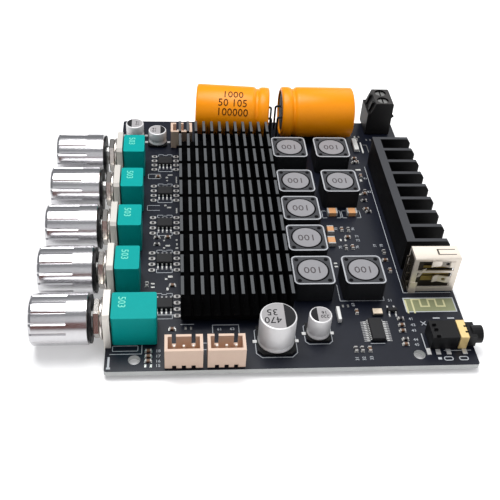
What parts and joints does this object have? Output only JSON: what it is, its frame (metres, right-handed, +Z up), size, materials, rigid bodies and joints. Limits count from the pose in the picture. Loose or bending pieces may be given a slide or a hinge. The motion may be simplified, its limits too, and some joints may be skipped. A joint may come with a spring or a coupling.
{
  "type": "audio amplifier board",
  "caption": "Audio amplifier circuit board with turning knobs along one edge, finned heatsinks, power inductors, capacitors, sockets and a screw terminal.",
  "frame": {"origin": "bottom centre of the whole part's outline box, at the tips of the solder tails", "axes": "+Z up from the board, -X out through the knobs' fronts, +X out through the sockets, -Y to the edge with the two pin headers"},
  "size_m": [0.1218, 0.121, 0.0209],
  "materials": {
    "board_laminate": "dark solder mask, semi-gloss, pale printed lines",
    "green_moulding": "blue-green moulded plastic, slight sheen",
    "plated_steel": "bright plated steel",
    "shaft_metal": "plain turned metal",
    "knob_chrome": "bright chrome with shallow flutes",
    "knob_black": "black moulded plastic",
    "black_aluminium": "black anodised, with bright cut fin tops",
    "chip_black": "black moulded chip body",
    "orange_sleeve": "orange shrunk plastic sleeve",
    "seal_rubber": "black rubber seal with tinned leads",
    "can_aluminium": "bare aluminium can with a black printed segment",
    "cream_moulding": "cream nylon moulding with tinned contacts",
    "terminal_black": "black moulded housing with tinned contacts",
    "ferrite": "dark grey moulded ferrite",
    "clamp_metal": "plated brass",
    "screw_steel": "zinc-plated steel",
    "socket_plating": "bright folded sheet metal",
    "white_moulding": "white moulded insulator with metal contacts",
    "jack_black": "black moulded socket body",
    "gold_band": "gold-coloured sheet band",
    "crystal_can": "bright metal lid"
  },
  "bodies": {
    "board": {"circuit_board": "board_laminate", "main_heatsink": "black_aluminium", "side_heatsink": "black_aluminium", "amplifier_chip_1": "chip_black", "amplifier_chip_2": "chip_black", "control_chip": "chip_black", "crystal": "crystal_can", "pot_housing_1": "green_moulding", "bushing_plate_1": "plated_steel", "pot_housing_2": "green_moulding", "bushing_plate_2": "plated_steel", "pot_housing_3": "green_moulding", "bushing_plate_3": "plated_steel", "pot_housing_4": "green_moulding", "bushing_plate_4": "plated_steel", "pot_housing_5": "green_moulding", "bushing_plate_5": "plated_steel", "power_inductor_1": "ferrite", "power_inductor_2": "ferrite", "power_inductor_3": "ferrite", "power_inductor_4": "ferrite", "power_inductor_5": "ferrite", "power_inductor_6": "ferrite", "power_inductor_7": "ferrite", "power_inductor_8": "ferrite", "big_capacitor_1": "orange_sleeve", "capacitor_seal_1": "seal_rubber", "big_capacitor_2": "orange_sleeve", "capacitor_seal_2": "seal_rubber", "upright_capacitor_1": "can_aluminium", "upright_capacitor_2": "can_aluminium", "upright_capacitor_3": "can_aluminium", "upright_capacitor_4": "can_aluminium", "pin_header_1": "cream_moulding", "pin_header_2": "cream_moulding", "pin_header_3": "cream_moulding", "terminal_block": "terminal_black", "usb_shell": "socket_plating", "usb_insulator": "white_moulding", "jack_body": "jack_black", "jack_band": "gold_band"},
    "knob_1": {"shaft_1": "shaft_metal", "knob_core_1": "knob_black", "knob_cap_1": "knob_chrome"},
    "knob_2": {"shaft_2": "shaft_metal", "knob_core_2": "knob_black", "knob_cap_2": "knob_chrome"},
    "knob_3": {"shaft_3": "shaft_metal", "knob_core_3": "knob_black", "knob_cap_3": "knob_chrome"},
    "knob_4": {"shaft_4": "shaft_metal", "knob_core_4": "knob_black", "knob_cap_4": "knob_chrome"},
    "knob_5": {"shaft_5": "shaft_metal", "knob_core_5": "knob_black", "knob_cap_5": "knob_chrome"},
    "screw_1": {"terminal_screw_1": "screw_steel"},
    "clamp_1": {"terminal_clamp_1": "clamp_metal"},
    "screw_2": {"terminal_screw_2": "screw_steel"},
    "clamp_2": {"terminal_clamp_2": "clamp_metal"}
  },
  "joints": [
    {"name": "knob_1_turn", "type": "hinge", "parent": "board", "child": "knob_1", "pos_m": [-0.04442, -0.04676, 0.0083], "axis": [-1, 0, 0], "range_deg": [-150, 150]},
    {"name": "knob_2_turn", "type": "hinge", "parent": "board", "child": "knob_2", "pos_m": [-0.04442, -0.02806, 0.0083], "axis": [-1, 0, 0], "range_deg": [-150, 150]},
    {"name": "knob_3_turn", "type": "hinge", "parent": "board", "child": "knob_3", "pos_m": [-0.04442, -0.00936, 0.0083], "axis": [-1, 0, 0], "range_deg": [-150, 150]},
    {"name": "knob_4_turn", "type": "hinge", "parent": "board", "child": "knob_4", "pos_m": [-0.04442, 0.00934, 0.0083], "axis": [-1, 0, 0], "range_deg": [-150, 150]},
    {"name": "knob_5_turn", "type": "hinge", "parent": "board", "child": "knob_5", "pos_m": [-0.04442, 0.02804, 0.0083], "axis": [-1, 0, 0], "range_deg": [-150, 150]},
    {"name": "screw_1_turn", "type": "hinge", "parent": "board", "child": "screw_1", "pos_m": [0.05278, 0.05232, 0.0141], "axis": [0, 0, 1], "range_deg": [-1440, 0]},
    {"name": "clamp_1_rise", "type": "slide", "parent": "board", "child": "clamp_1", "axis": [0, 0, 1], "range_m": [0, 0.002]},
    {"name": "screw_2_turn", "type": "hinge", "parent": "board", "child": "screw_2", "pos_m": [0.05278, 0.0574, 0.0141], "axis": [0, 0, 1], "range_deg": [-1440, 0]},
    {"name": "clamp_2_rise", "type": "slide", "parent": "board", "child": "clamp_2", "axis": [0, 0, 1], "range_m": [0, 0.002]}
  ]
}
